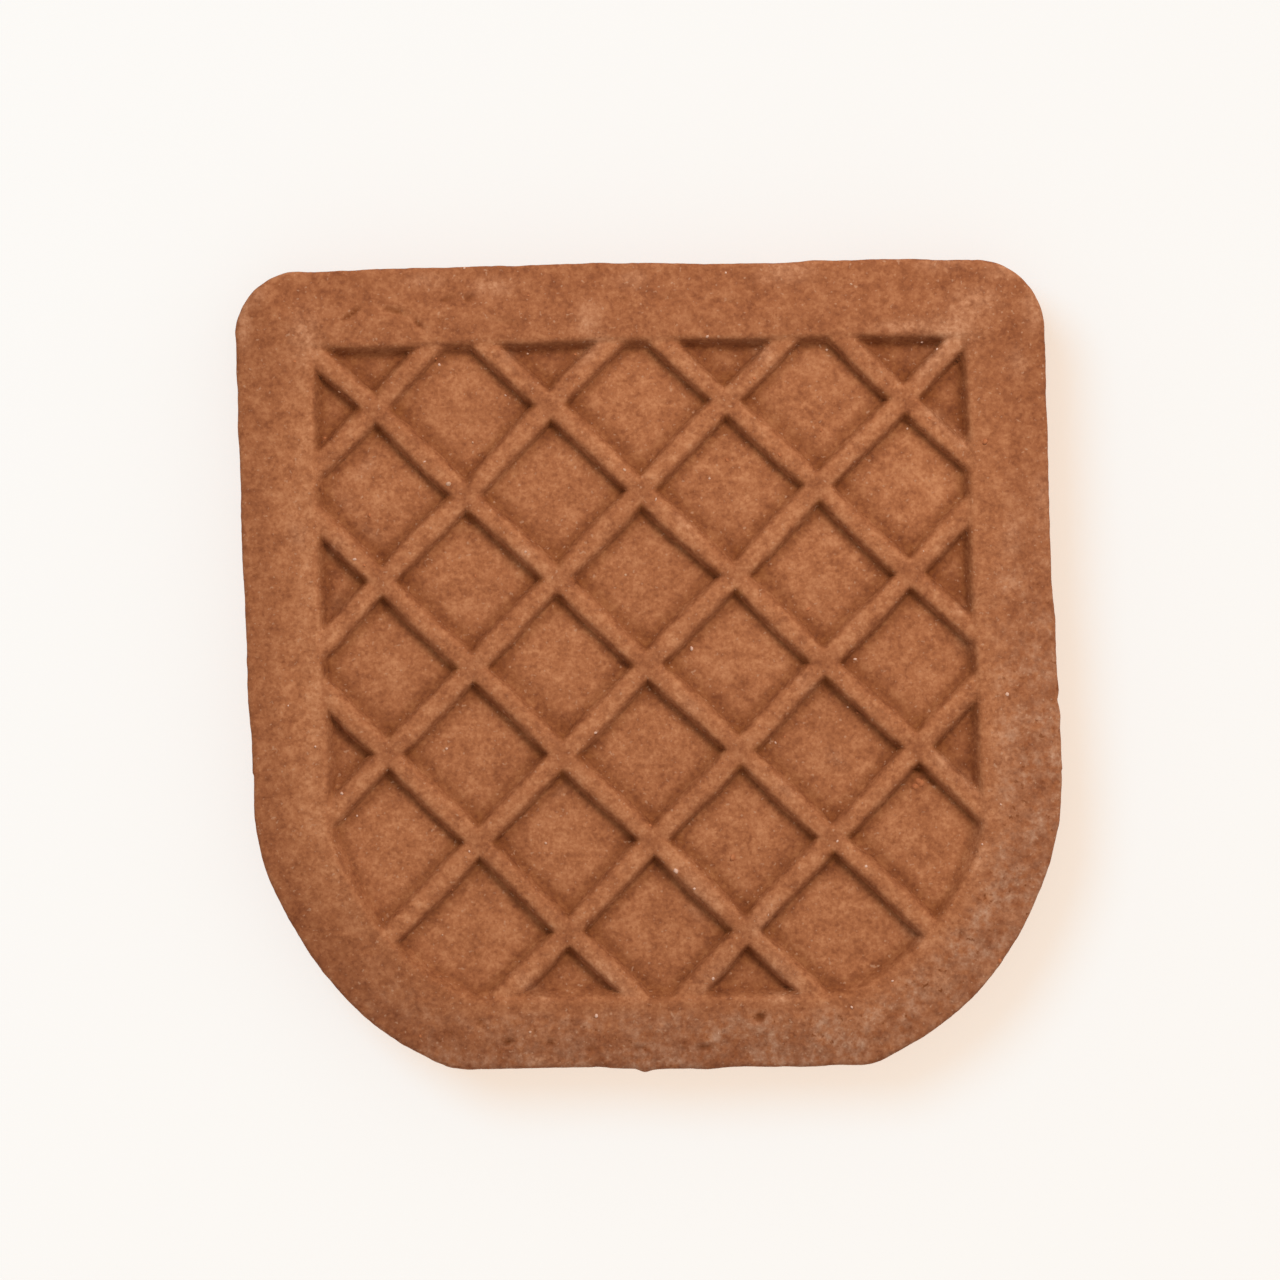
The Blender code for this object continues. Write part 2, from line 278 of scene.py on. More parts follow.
# The palest grains: photograph pixel and radius
GRAINS = (
    (447, 485, 0.21 * MM),
    (692, 648, 0.20 * MM),
    (344, 820, 0.12 * MM),
    (677, 871, 0.17 * MM),
    (595, 733, 0.12 * MM),
    (707, 336, 0.13 * MM),
    (527, 352, 0.12 * MM),
    (439, 363, 0.11 * MM),
    (714, 980, 0.12 * MM),
    (908, 427, 0.11 * MM),
    (827, 349, 0.12 * MM),
    (595, 1017, 0.12 * MM),
    (445, 749, 0.10 * MM),
    (544, 844, 0.11 * MM),
    (693, 888, 0.11 * MM),
    (356, 559, 0.12 * MM),
    (836, 841, 0.11 * MM),
    (921, 342, 0.10 * MM),
    (775, 742, 0.10 * MM),
    (357, 817, 0.11 * MM),
    (340, 793, 0.11 * MM),
    (938, 349, 0.12 * MM),
    (316, 746, 0.10 * MM),
    (865, 865, 0.13 * MM),
    (657, 499, 0.12 * MM),
    (468, 852, 0.11 * MM),
    (851, 1006, 0.12 * MM),
    (769, 915, 0.11 * MM),
    (525, 553, 0.10 * MM),
    (529, 1033, 0.11 * MM),
    (504, 394, 0.10 * MM),
)

# Reddish crumbs that stand up most: photograph pixel and radius
CRUMBS = (
    (918, 780, 0.42 * MM),
    (915, 787, 0.34 * MM),
    (923, 784, 0.28 * MM),
)

# How many more grains and crumbs are strewn at random, and their radii
STREWN_GRAINS = 20
GRAIN_RADII = (0.07 * MM, 0.13 * MM)
STREWN_CRUMBS = 24
CRUMB_RADII = (0.10 * MM, 0.20 * MM)
FACE_DEPTH = 1.6 * MM

# Width and place of the two lights that fall on the floor alone
OVER_FLOOR_WIDTH = 1.2
OVER_FLOOR_PLACE = (0, 0, 1.5)
COOL_WINDOW_WIDTH = 0.80
COOL_WINDOW_PLACE = (-0.66, 0.66, 1.19)

# Red that is mixed into the loose crumbs, and how much of it
CRUMB_RED = (0.60, 0.19, 0.07)
CRUMB_REDNESS = 0.42

# What is stored at each point of the body for the crumb's colours, painted shade and highlight among
# them
MARKS = (
    "browned_and_shaded", "pale_band", "worn_and_lit", "dusty", "pitted",
    "crease_shade", "corner_shade", "pale_crest_and_highlight", "stand", "steep",
)


class BiscuitShape(bpy.types.PropertyGroup):
    """Sizes of the biscuit's relief and of its crumb."""

    relief: FloatProperty(
        name="Relief", description="Depth of the panel below the rim", default=1.25 * MM,
        unit="LENGTH", precision=5,
    )
    rib_half_width: FloatProperty(
        name="Rib Half Width", description="From a rib's crest to its foot", default=0.93 * MM,
        unit="LENGTH", precision=5,
    )
    rib_height: FloatProperty(
        name="Rib Height", description="Rise of a rib over the panel's floor", default=1.02 * MM,
        unit="LENGTH", precision=5,
    )
    rib_spacing: FloatProperty(
        name="Rib Spacing", description="Distance between neighbouring ribs", default=9.15 * MM,
        unit="LENGTH", precision=5,
    )
    crease: FloatProperty(
        name="Crease", description="Depth of the groove at a rib's foot", default=0.21 * MM,
        unit="LENGTH", precision=5,
    )
    rim_fall: FloatProperty(
        name="Rim Fall", description="Slope of the rim's outer part", default=0.17,
    )
    crumb_room: FloatProperty(
        name="Crumb Room", description="Left for the crumb under the solid's top",
        default=0.12 * MM, unit="LENGTH", precision=5,
    )
    edge_rounding: FloatProperty(
        name="Edge Rounding", description="Radius of the upper outer edge", default=0.30 * MM,
        unit="LENGTH", precision=5,
    )
    foot_rounding: FloatProperty(
        name="Foot Rounding", description="Radius of the lower outer edge", default=0.5 * MM,
        unit="LENGTH", precision=5,
    )
    swell: FloatProperty(
        name="Swell", description="Slow unevenness of the baked surface", default=0.16 * MM,
        unit="LENGTH", precision=5,
    )
    lumps: FloatProperty(
        name="Lumps", description="Height of the dough's lumps", default=0.13 * MM,
        unit="LENGTH", precision=5,
    )
    crumb: FloatProperty(
        name="Crumb", description="Height of the crumb's grain", default=0.075 * MM,
        unit="LENGTH", precision=5,
    )
    coarse_cuts: IntProperty(
        name="Coarse Cuts", description="First cuts across the slab", default=8, min=1, max=20,
    )
    fine_cuts: IntProperty(
        name="Fine Cuts", description="Cuts across each first strip", default=29, min=1, max=60,
    )
    wall_cuts: IntProperty(
        name="Wall Cuts", description="Cuts up the side wall", default=11, min=1, max=40,
    )
    triangles: IntProperty(
        name="Triangles", description="Triangles of the finished body", default=196000, min=2000,
    )


class CrumbLook(bpy.types.PropertyGroup):
    """Colours of the baked crumb, its grains and its loose crumbs."""

    # The dark crumb also gives the painted shade in the cells that the rim cuts
    dark: FloatVectorProperty(
        name="Dark Crumb", description="Cocoa rich grain", subtype="COLOR", size=3,
        default=(0.300, 0.091, 0.030),
    )
    middle: FloatVectorProperty(
        name="Middle Crumb", description="Most of the crumb", subtype="COLOR", size=3,
        default=(0.430, 0.147, 0.054),
    )
    # The light crumb also gives the pale band beside the panel and the painted highlight on the rib
    # crests
    light: FloatVectorProperty(
        name="Light Crumb", description="Pale, dry grain", subtype="COLOR", size=3,
        default=(0.565, 0.232, 0.100),
    )
    # The worn crumb also gives the painted highlight along the panel's inner edge
    worn_and_lit: FloatVectorProperty(
        name="Worn Crumb", description="Crumb rubbed pale", subtype="COLOR", size=3,
        default=(0.610, 0.268, 0.130),
    )
    # The colour of the painted shade in low places, creases, corners, dents, small pits and on steep
    # slopes
    hollow_shade: FloatVectorProperty(
        name="Hollow", description="Browner crumb in grooves and pits", subtype="COLOR", size=3,
        default=(0.195, 0.048, 0.007),
    )
    dust: FloatVectorProperty(
        name="Dust", description="Greyish dust on the lower rim", subtype="COLOR", size=3,
        default=(0.475, 0.262, 0.158),
    )
    grain: FloatVectorProperty(
        name="Pale Grain", description="Sugar and flour grains", subtype="COLOR", size=3,
        default=(0.580, 0.310, 0.180),
    )
    flour: FloatVectorProperty(
        name="Flour Grain", description="The palest grains", subtype="COLOR", size=3,
        default=(0.760, 0.460, 0.330),
    )
    roughness: FloatProperty(
        name="Roughness", description="Roughness of the crumb", default=0.88, min=0.0, max=1.0,
    )


class StudioLook(bpy.types.PropertyGroup):
    """Floor, lights and camera."""

    floor: FloatVectorProperty(
        name="Floor", description="Colour of the pale floor", subtype="COLOR", size=3,
        default=(0.420, 0.409, 0.394),
    )
    fill: FloatProperty(
        name="Fill", description="Even light from all round", default=0.525, min=0.0,
    )
    key_power: FloatProperty(
        name="Key Power", description="Power of the soft key light", default=0.465, min=0.0,
    )
    key_azimuth: FloatProperty(
        name="Key Azimuth", description="Direction of the key light, from +X",
        subtype="ANGLE", default=math.radians(64),
    )
    key_elevation: FloatProperty(
        name="Key Elevation", description="Height of the key light over the floor",
        subtype="ANGLE", default=math.radians(53),
    )
    key_size: FloatProperty(
        name="Key Size", description="Width of the key light", default=0.11, unit="LENGTH",
    )
    key_distance: FloatProperty(
        name="Key Distance", description="Distance of the key light", default=0.28, unit="LENGTH",
    )
    floor_power: FloatProperty(
        name="Floor Power", description="Power of the light over the floor", default=44.8, min=0.0,
    )
    floor_warmth: FloatVectorProperty(
        name="Floor Warmth", description="Colour of the light over the floor", subtype="COLOR",
        size=3, default=(1.0, 0.857, 0.735),
    )
    shadow_power: FloatProperty(
        name="Shadow Power", description="Power of the cool light that gives the soft shadow",
        default=15.6, min=0.0,
    )
    shadow_coolness: FloatVectorProperty(
        name="Shadow Coolness", description="Colour of the light that gives the soft shadow",
        subtype="COLOR", size=3, default=(0.134, 0.597, 1.0),
    )
    lens: FloatProperty(
        name="Lens", description="Focal length in millimetres", default=200.0, min=20.0,
    )


def smooth_step(low, high, value):
    t = np.clip((value - low) / (high - low), 0, 1)
    return t * t * (3 - 2 * t)


def smooth_min(a, b, blend):
    return -smooth_max(-a, -b, blend)


def smooth_max(a, b, blend):
    """The higher of two surfaces, with the crease between them filled over a short height."""
    gap = np.maximum(blend - np.abs(a - b), 0)
    return np.maximum(a, b) + gap * gap / (4 * blend)


def outline_reach(angle):
    """How far the mould's outline lies from its middle in each direction."""
    c, s = np.abs(np.cos(angle)), np.sin(angle)
    tiny = 1e-9
    upright = HALF_WIDTH / np.maximum(c, tiny)
    level = np.where(s > 0, TOP_EDGE / np.maximum(s, tiny), BOTTOM_EDGE / np.minimum(s, -tiny))
    straight = np.minimum(upright, level)
    x, y = c * straight, s * straight

    def arc_reach(centre_x, centre_y, radius):
        along = c * centre_x + s * centre_y
        inside = along**2 - centre_x**2 - centre_y**2 + radius**2
        return along + np.sqrt(np.maximum(inside, 0))

    corner_x, corner_y = HALF_WIDTH - TOP_CORNER_RADIUS, TOP_EDGE - TOP_CORNER_RADIUS
    corner = np.minimum(straight, arc_reach(corner_x, corner_y, TOP_CORNER_RADIUS))
    lower = smooth_min(straight, arc_reach(LOWER_ARC_X, LOWER_ARC_Y, LOWER_ARC_RADIUS), 0.35 * MM)
    reach = np.where((x > corner_x) & (y > corner_y), corner, straight)
    return np.where((x > LOWER_ARC_X) & (y < LOWER_ARC_Y), lower, reach)


def panel_depth_in(x, y):
    """How far inside the panel's outline a point lies; negative on the rim."""
    across = np.abs(x)
    inside = np.minimum(PANEL_RIGHT - x, x - PANEL_LEFT)
    inside = np.minimum(inside, np.minimum(PANEL_TOP - y, y - PANEL_BOTTOM))
    to_arc = PANEL_ARC_RADIUS - np.hypot(across - LOWER_ARC_X, y - LOWER_ARC_Y)
    in_arc = (across > LOWER_ARC_X) & (y < LOWER_ARC_Y)
    return np.where(in_arc, np.minimum(inside, to_arc), inside)


def uneven(x, y, share):
    """Moves points in or out by the slow waves of the edge."""
    angle = np.arctan2(y, x)
    wave = sum(height * np.sin(count * angle + phase) for count, height, phase in EDGE_WAVES)
    scale = 1 + share * wave / np.maximum(np.hypot(x, y), MM)
    return x * scale, y * scale


def leaned(x, y):
    return x + LEAN * y, y + LEAN * x


def centring_shift():
    """What brings the middle of the edge's box to the origin."""
    angle = np.linspace(-math.pi, math.pi, 1440, endpoint=False)
    reach = outline_reach(angle)
    x, y = leaned(*uneven(reach * np.cos(angle), reach * np.sin(angle), 1.0))
    return -(x.min() + x.max()) / 2, -(y.min() + y.max()) / 2


SHIFT_X, SHIFT_Y = centring_shift()


def place_of_pixel(column, row):
    """Where a pixel of the photograph lies on the biscuit, in the frame."""
    right, up = (column - PHOTO_MIDDLE[0]) * PIXEL, (PHOTO_MIDDLE[1] - row) * PIXEL
    c, s = math.cos(PHOTO_TURN), math.sin(PHOTO_TURN)
    return right * c + up * s + SHIFT_X, up * c - right * s + SHIFT_Y


def rib_side(x, y, way, shape):
    """How far a point is off the nearest rib of one way, with that rib's count and place along."""
    direction, offset, _ = RIB_WAYS[way]
    across = y * math.cos(direction) - x * math.sin(direction) - offset
    along = x * math.cos(direction) + y * math.sin(direction)
    index = np.clip(np.round(across / shape.rib_spacing), LOWEST_RIB, HIGHEST_RIB)
    sway = 2 * math.pi * along / RIB_SWAY_LENGTH + RIB_SWAY_PHASE * index + direction
    stray = np.array(RIB_STRAYS[way])[(index - LOWEST_RIB).astype(int)] * MM
    middle = index * shape.rib_spacing + stray[:, 0] + stray[:, 1] * along / shape.rib_spacing
    return across - middle - RIB_SWAY * np.sin(sway), index, along


def rib_rise(side, index, along, lift, shape):
    """One way of the trellis: its rise over the panel's floor, and how near the ribs' feet are."""
    width = shape.rib_half_width * (1 + 0.05 * np.sin(along / (1.9 * MM) + 5 * index))
    width = np.where(side < 0, 1.04 * width, width)
    height = shape.rib_height * (1 + 0.04 * np.sin(along / (2.7 * MM) - 3 * index)) + lift
    profile = np.maximum(1 - np.abs(side / width) ** 4.2, 0) ** 0.62
    foot = np.exp(-np.maximum(np.abs(side) - width, 0) / (0.6 * MM))
    foot *= 1 + 0.30 * np.sin(along / (1.1 * MM) + 4 * index) * np.sin(along / (0.43 * MM) - index)
    return height * profile, foot


def cell_form(x, y, shape):
    """How far a point is up its cell's dome, and whether the rim cuts that cell."""
    dome = np.ones_like(x)
    middle_x, middle_y = np.zeros_like(x), np.zeros_like(y)
    for direction, offset, _ in RIB_WAYS:
        c, s = math.cos(direction), math.sin(direction)
        across = (y * c - x * s - offset) / shape.rib_spacing
        dome *= np.abs(np.sin(math.pi * across))
        middle = (np.floor(across) + 0.5) * shape.rib_spacing + offset
        middle_x -= middle * s
        middle_y += middle * c
    return dome, panel_depth_in(middle_x, middle_y) < 0


def face_height(x, y, rib_x, rib_y, shape):
    """Height of the patterned face over the underside, before dents and crumb."""
    top = NODE_HIGH.z - shape.crumb_room
    inside = panel_depth_in(x, y)
    wall = smooth_step(-0.25 * MM, 0.80 * MM, inside)
    past_band = -inside - 2.0 * MM
    fall = shape.rim_fall * (past_band + np.hypot(past_band, 0.6 * MM)) / 2
    rim = top - shape.relief * wall - fall
    feet = 0.5 * np.exp(-np.maximum(inside - 0.6 * MM, 0) / (0.5 * MM))
    ribs, nearness, corners = np.zeros_like(x), np.zeros_like(x), np.ones_like(x)
    for way, (_, _, lift) in enumerate(RIB_WAYS):
        side, index, along = rib_side(rib_x, rib_y, way, shape)
        rise, foot = rib_rise(side, index, along, lift, shape)
        ribs = smooth_max(ribs, rise, 0.08 * MM)
        feet = np.maximum(feet, foot)
        corners *= foot**1.3 * (0.55 + 0.45 * (side < 0))
        nearness += (side / (0.9 * MM)) ** 2
    ribs -= 0.10 * MM * np.exp(-nearness)
    panel = top - shape.relief
    dome, cut_by_rim = cell_form(rib_x, rib_y, shape)
    sink = np.where(cut_by_rim, 0.30 * MM, -0.16 * MM * dome)
    floor = panel - sink - shape.crease * (feet + 2.4 * corners)
    buried = shape.relief * smooth_step(0.3 * MM, 3.5 * MM, -inside)
    surface = smooth_max(floor, panel + ribs - buried, 0.12 * MM)
    return smooth_max(rim, surface, 0.06 * MM)


def spots(table, x, y):
    """The soft spots of a table added up at each point: dents' depth, or how worn it is."""
    amount = np.zeros_like(x)
    for column, row, length, width, turn, strength in table:
        middle_x, middle_y = place_of_pixel(column, row)
        c, s = math.cos(math.radians(turn)), math.sin(math.radians(turn))
        along = (x - middle_x) * c + (y - middle_y) * s
        across = (y - middle_y) * c - (x - middle_x) * s
        amount += strength * np.exp(-((along / length) ** 2) - (across / width) ** 2)
    return amount


def marked_edge(x, y):
    """Moves the points near each bump or notch of the outer edge straight out or in."""
    reach = np.maximum(np.hypot(x, y), MM)
    push = np.zeros_like(x)
    for column, row, height, width in EDGE_MARKS:
        middle_x, middle_y = place_of_pixel(column, row)
        push += height * np.exp(-((x - middle_x) ** 2 + (y - middle_y) ** 2) / width**2)
    return x * (1 + push / reach), y * (1 + push / reach)


def deselect_all():
    bpy.ops.object.select_all(action="DESELECT")


def apply_modifier(piece, modifier):
    bpy.context.view_layer.objects.active = piece
    bpy.ops.object.modifier_apply(modifier=modifier.name)


def cut_edges(test, cuts):
    """In edit mode, subdivides the edges whose direction passes the test."""
    bpy.ops.mesh.select_all(action="DESELECT")
    mesh = bmesh.from_edit_mesh(bpy.context.edit_object.data)
    for edge in mesh.edges:
        edge.select_set(test(edge.verts[0].co - edge.verts[1].co))
    bmesh.update_edit_mesh(bpy.context.edit_object.data)
    bpy.ops.mesh.subdivide(number_cuts=cuts)


def vertex_places(mesh):
    places = np.empty(len(mesh.vertices) * 3, np.float32)
    mesh.vertices.foreach_get("co", places)
    return places.reshape(-1, 3).astype(float)


def vertex_normals(mesh):
    normals = np.empty(len(mesh.vertices) * 3, np.float32)
    mesh.vertices.foreach_get("normal", normals)
    return normals.reshape(-1, 3)


def set_vertex_places(mesh, places):
    mesh.vertices.foreach_set("co", places.astype(np.float32).ravel())
    mesh.update()


def cut_slab(shape):
    """A block the size of the biscuit, cut finely across and less finely up its wall."""
    deselect_all()
    middle = (NODE_LOW + NODE_HIGH) / 2
    bpy.ops.mesh.primitive_cube_add(size=1, location=middle, scale=NODE_HIGH - NODE_LOW)
    slab = bpy.context.object
    slab.name = slab.data.name = "baked_biscuit"
    bpy.ops.object.transform_apply(location=True, rotation=False, scale=True)
    bpy.ops.object.mode_set(mode="EDIT")
    bpy.ops.mesh.select_mode(type="EDGE")
    cut_edges(lambda run: abs(run.z) > MM, shape.wall_cuts)
    cut_edges(lambda run: abs(run.z) < MM / 10, shape.coarse_cuts)
    cut_edges(lambda run: abs(run.z) < MM / 10, shape.fine_cuts)
    bpy.ops.object.mode_set(mode="OBJECT")
    return slab


def press_shape(slab, shape):
    """Moves the block's vertices to the moulded form. Returns how low each lies, from 0 to 1."""
    low, high = np.array(NODE_LOW), np.array(NODE_HIGH)
    unit = (vertex_places(slab.data) - (low + high) / 2) / ((high - low) / 2)
    u, v, w = unit.T
    rho = np.maximum(np.maximum(np.abs(u), np.abs(v)), 1e-6)
    box_x, box_y = u * HALF_WIDTH, v * (TOP_EDGE - BOTTOM_EDGE) / 2
    box_reach = np.maximum(np.hypot(box_x, box_y), 1e-9) / rho
    angle = np.arctan2(box_y, box_x)
    edge = outline_reach(angle)
    upper, lower = w > 1 - 1e-4, w < -1 + 1e-4
    rounding = np.where(upper, shape.edge_rounding, shape.foot_rounding)
    reach = rho * (box_reach + (edge - box_reach) * rho**2) * (1 + (math.pi / 2 - 1) * rounding / edge)
    bend = np.clip((reach - edge + rounding) / rounding, 0, math.pi / 2)
    capped = upper | lower
    plan = np.where(bend > 0, edge - rounding + rounding * np.sin(bend), reach)
    plan = np.where(capped, plan, edge)
    drop = rounding * (1 - np.cos(bend))
    x, y = plan * np.cos(angle), plan * np.sin(angle)
    share = smooth_step(WAVES_FROM, WAVES_FULL, plan)
    rib_x, rib_y = uneven(x, y, share)
    final_x, final_y = leaned(rib_x, rib_y)
    final_x, final_y = marked_edge(final_x + SHIFT_X, final_y + SHIFT_Y)
    height = face_height(x, y, rib_x, rib_y, shape)
    wall_low, wall_high = shape.foot_rounding, height - shape.edge_rounding
    wall_z = wall_low + (w + 1) / 2 * (wall_high - wall_low)
    face_z = height - drop - spots(DENTS, final_x, final_y)
    z = np.where(upper, face_z, np.where(lower, drop + 0.02 * MM, wall_z))
    set_vertex_places(slab.data, np.stack([final_x, final_y, z], 1))
    return np.where(lower & (bend <= 0), 1.0, 0.0)


def add_group(piece, name, weights):
    group = piece.vertex_groups.new(name=name)
    for weight in np.unique(weights):
        if weight > 0:
            group.add(np.nonzero(weights == weight)[0].tolist(), float(weight), "REPLACE")
    return group


def roughen(piece, name, scale, strength, depth=2, group=""):
    """Raises and sinks the whole surface by a cloudy noise, as a modifier that is applied."""
    clouds = bpy.data.textures.new(name, "CLOUDS")
    clouds.noise_scale = scale
    clouds.noise_depth = depth
    push = piece.modifiers.new(name, "DISPLACE")
    push.texture = clouds
    push.texture_coords = "LOCAL"
    push.direction = "NORMAL"
    push.strength = strength
    push.vertex_group = group
    apply_modifier(piece, push)


def settle(piece):
    """Flattens what would reach under the surface that the biscuit lies on, or over its solid."""
    places = vertex_places(piece.data)
    places[:, 2] = np.clip(places[:, 2], 0, NODE_HIGH.z + 0.1 * MM)
    set_vertex_places(piece.data, places)


def thin_underside(piece, shape):
    """Takes triangles out of the hidden underside, down to the body's share."""
    count = sum(len(face.vertices) - 2 for face in piece.data.polygons)
    thin = piece.modifiers.new("thinner underside", "DECIMATE")
    thin.ratio = min(1.0, shape.triangles / count)
    thin.vertex_group = "underside"
    thin.vertex_group_factor = 10.0
    apply_modifier(piece, thin)


def add_mark(mesh, name, values):
    layer = mesh.attributes.new(name, "FLOAT", "POINT")
    layer.data.foreach_set("value", values.astype(np.float32))


def stand_and_upright(mesh, rounds):
    """How far each point stands over its smoothed surroundings, in 0.1 mm, and how level it is."""
    places = vertex_places(mesh)
    ends = np.empty(len(mesh.edges) * 2, np.int32)
    mesh.edges.foreach_get("vertices", ends)
    a, b = ends.reshape(-1, 2).T
    count = np.bincount(a, minlength=len(places)) + np.bincount(b, minlength=len(places))
    smooth = places.copy()
    for _ in range(rounds):
        for axis in range(3):
            column = smooth[:, axis]
            total = np.bincount(a, column[b], len(places)) + np.bincount(b, column[a], len(places))
            smooth[:, axis] = (column + total / count) / 2
    normals = vertex_normals(mesh)
    return ((places - smooth) * normals).sum(1) / (0.1 * MM), normals[:, 2]


def soft_band(value, middle, width):
    """A soft band around one value of a distance."""
    return np.exp(-(((value - middle) / width) ** 2))


def darker_rim(x, y, outside):
    """How much darker the rim is: at its lower, upper and right sides, and along its outer edge, where
    it is baked browner.
    """
    right, up = x / HALF_WIDTH, y / HALF_WIDTH
    browned_and_shaded = 1.25 * smooth_step(0.1, 0.8, -up) * (1 - 0.6 * smooth_step(0.1, 0.6, right))
    browned_and_shaded += 1.15 * smooth_step(0.5, 0.8, up)
    browned_and_shaded += 0.5 * smooth_step(0.6, 0.8, right)
    browned_and_shaded *= smooth_step(-0.4 * MM, 0.6 * MM, outside)
    outer = smooth_step(2.2 * MM, 3.9 * MM, outside + 0.4 * MM * right)
    return browned_and_shaded + outer * (1 - 0.55 * smooth_step(0.5, 0.8, up))


def foot_crease_shade(rising, falling):
    """Painted shade in the creases at the ribs' feet, from how far off a rib of each way a point is in
    mm.
    """
    over, under = 2.2 * soft_band(falling, 1.5, 0.60), 1.2 * soft_band(falling, -1.5, 0.4)
    crease_shade = np.where(falling > 0, over, under)
    crease_shade = np.maximum(crease_shade, 1.5 * soft_band(np.abs(rising), 1.42, 0.36))
    return crease_shade * smooth_step(0.4, 1.1, np.minimum(np.abs(rising), np.abs(falling)))


def corner_shade_marks(x, y, outside, rising, falling, in_part_cell):
    """Painted shade in the corners of the cells, between two ribs and between a rib and the panel's
    wall, and under the rim's wall in the cells that the rim cuts.
    """
    beside = np.minimum(np.abs(rising), np.abs(falling))
    farther = np.maximum(np.abs(rising), np.abs(falling))
    at_ribs = np.exp(-(np.maximum(farther - 1.0, 0) / 0.65)) * smooth_step(0.55, 0.85, beside)
    at_ribs *= 0.6 + 0.2 * (rising < 0) + 0.2 * (falling < 0)
    by_wall = np.exp(-np.maximum(-outside / MM - 0.2, 0) / 0.8) * (outside < 0)
    by_wall *= np.exp(-np.maximum(beside - 0.9, 0) / 0.5) * smooth_step(0.7, 0.95, beside)
    by_wall *= 0.15 + 0.30 * (x > 0) + 0.2 * (y > 0)
    under_wall = np.exp(-np.maximum(-outside / MM - 0.5, 0)) * in_part_cell
    under_wall *= smooth_step(0.55, 0.95, beside) * np.maximum(0.18 * (x > 0), 0.34 * (y > 0))
    corners = np.maximum(np.maximum(at_ribs, by_wall), under_wall)
    return corners * smooth_step(0.1 * MM, -0.3 * MM, outside)


def zones(places, shape):
    """What is stored for the crumb's colours, as far as a point's place in the plan settles it."""
    x, y = places[:, 0] - SHIFT_X, places[:, 1] - SHIFT_Y
    x, y = uneven(x - LEAN * y, y - LEAN * x, -1.0)
    outside = -panel_depth_in(x, y)
    in_panel = 1 - smooth_step(-0.4 * MM, 0.6 * MM, outside)
    rising, falling = (rib_side(x, y, way, shape)[0] / MM for way in range(len(RIB_WAYS)))
    nearness = rising**2 + falling**2
    in_part_cell = cell_form(x, y, shape)[1] & (nearness > 1.5) & (outside < 0)
    toward_right = smooth_step(-0.4, 0.5, x / HALF_WIDTH)
    at_top = smooth_step(0.4, 0.6, y / HALF_WIDTH)
    browned_and_shaded = darker_rim(x, y, outside) + 1.4 * np.exp(-nearness) * in_panel
    # Painted shade of the rim's wall over the cells that the rim cuts, heavier to the right and at the
    # top
    browned_and_shaded += in_part_cell * (0.25 + 0.50 * toward_right + 0.40 * at_top)
    browned_and_shaded += spots(BROWNED_AND_SHADED_SPOTS, places[:, 0], places[:, 1])
    # Painted highlight along the rib crests, partly paler crumb
    pale_crest_and_highlight = np.maximum(soft_band(rising, -0.1, 0.46), soft_band(falling, -0.05, 0.46))
    pale_crest_and_highlight *= 1 - np.exp(-nearness)
    at_side = smooth_step(0.55, 0.85, np.abs(x) / np.maximum(np.hypot(x, y), MM))
    beside_panel = soft_band(outside, 0.9 * MM, 0.9 * MM) * at_side
    toward_lower_right = (0.55 * x - 0.80 * y) / HALF_WIDTH
    return {
        "browned_and_shaded": np.minimum(browned_and_shaded, 2.4),
        # A paler band along the rim beside the panel, stronger toward the left
        "pale_band": beside_panel * (0.45 - 0.29 * x / HALF_WIDTH),
        "worn_and_lit": np.clip(spots(PALE_AND_LIT_SPOTS, places[:, 0], places[:, 1]), 0, 1),
        "crease_shade": foot_crease_shade(rising, falling) * in_panel,
        "corner_shade": corner_shade_marks(x, y, outside, rising, falling, in_part_cell),
        "pale_crest_and_highlight": pale_crest_and_highlight * smooth_step(1.0 * MM, -0.5 * MM, outside),
        "inner": 1 - smooth_step(3.6 * MM, 4.8 * MM, outside),
        "dusty": smooth_step(0.4 * MM, 2.0 * MM, outside) * smooth_step(0, 0.9, toward_lower_right),
        "pitted": smooth_step(0.06 * MM, 0.30 * MM, spots(DENTS, places[:, 0], places[:, 1])),
    }


